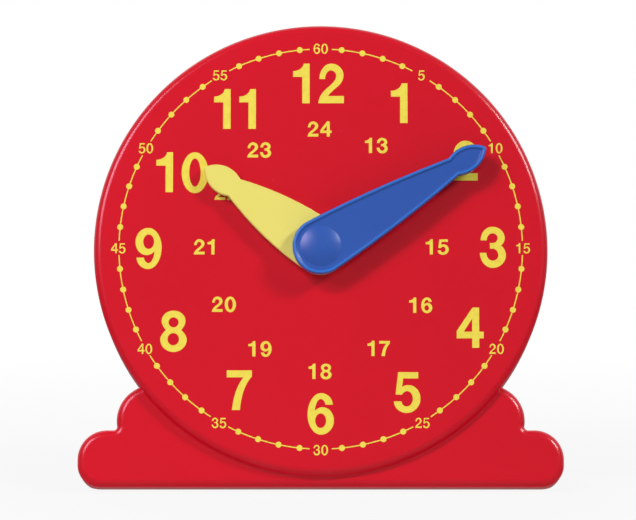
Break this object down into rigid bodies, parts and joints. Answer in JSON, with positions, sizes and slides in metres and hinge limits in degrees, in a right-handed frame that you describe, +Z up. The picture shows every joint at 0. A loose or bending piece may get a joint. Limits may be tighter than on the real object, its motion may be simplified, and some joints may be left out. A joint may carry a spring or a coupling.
{
  "type": "geared teaching clock",
  "caption": "Geared teaching clock: round dial on a cloud-shaped foot, hour and minute hands geared 1 to 12 behind the dial, level strips under the foot and a fold-out rear leg.",
  "frame": {"origin": "centre of the clock's box on the floor, with the leg folded out", "axes": "+Z up; -Y the side the dial faces, leaned back by 12 degrees; +X to the right of the dial as it is read"},
  "size_m": [0.1074, 0.033, 0.1023],
  "materials": {
    "housing_red": "moulded, satin gloss, printed dial",
    "cover_red": "moulded, fine satin",
    "hand_yellow": "moulded, satin gloss",
    "hand_blue": "moulded, satin gloss",
    "gear_white": "moulded, natural",
    "shaft_steel": "ground",
    "screw_steel": "zinc plated",
    "spring_steel": "stamped"
  },
  "bodies": {
    "housing": {"front_housing": "housing_red", "rear_cover": "cover_red", "cover_screws": "screw_steel", "transfer_pin": "shaft_steel", "transfer_washer": "spring_steel", "spring_washer": "spring_steel", "leg_pin": "shaft_steel"},
    "minute_train": {"minute_hand": "hand_blue", "minute_arbor": "shaft_steel", "cannon_pinion": "gear_white", "push_nut": "spring_steel"},
    "hour_train": {"hour_hand": "hand_yellow", "hour_wheel": "gear_white"},
    "transfer": {"transfer_wheel": "gear_white"},
    "leg": {"support_leg": "cover_red"}
  },
  "joints": [
    {"name": "minute_turn", "type": "hinge", "parent": "housing", "child": "minute_train", "pos_m": [0, -0.00641, 0.05342], "axis": [0, 0.9781, -0.2079], "continuous": true},
    {"name": "hour_turn", "type": "hinge", "parent": "housing", "child": "hour_train", "pos_m": [0, -0.00641, 0.05342], "axis": [0, 0.9781, -0.2079], "continuous": true},
    {"name": "transfer_turn", "type": "hinge", "parent": "housing", "child": "transfer", "pos_m": [0, -0.00142, 0.0769], "axis": [0, 0.9781, -0.2079], "continuous": true},
    {"name": "leg_fold", "type": "hinge", "parent": "housing", "child": "leg", "pos_m": [0, 0.0021, 0.03914], "axis": [1, 0, 0], "range_deg": [-24.11, 0]}
  ],
  "couplings": [
    {"joint": "hour_turn", "follows": "minute_turn", "ratio": 0.083333},
    {"joint": "transfer_turn", "follows": "minute_turn", "ratio": -0.33333}
  ]
}
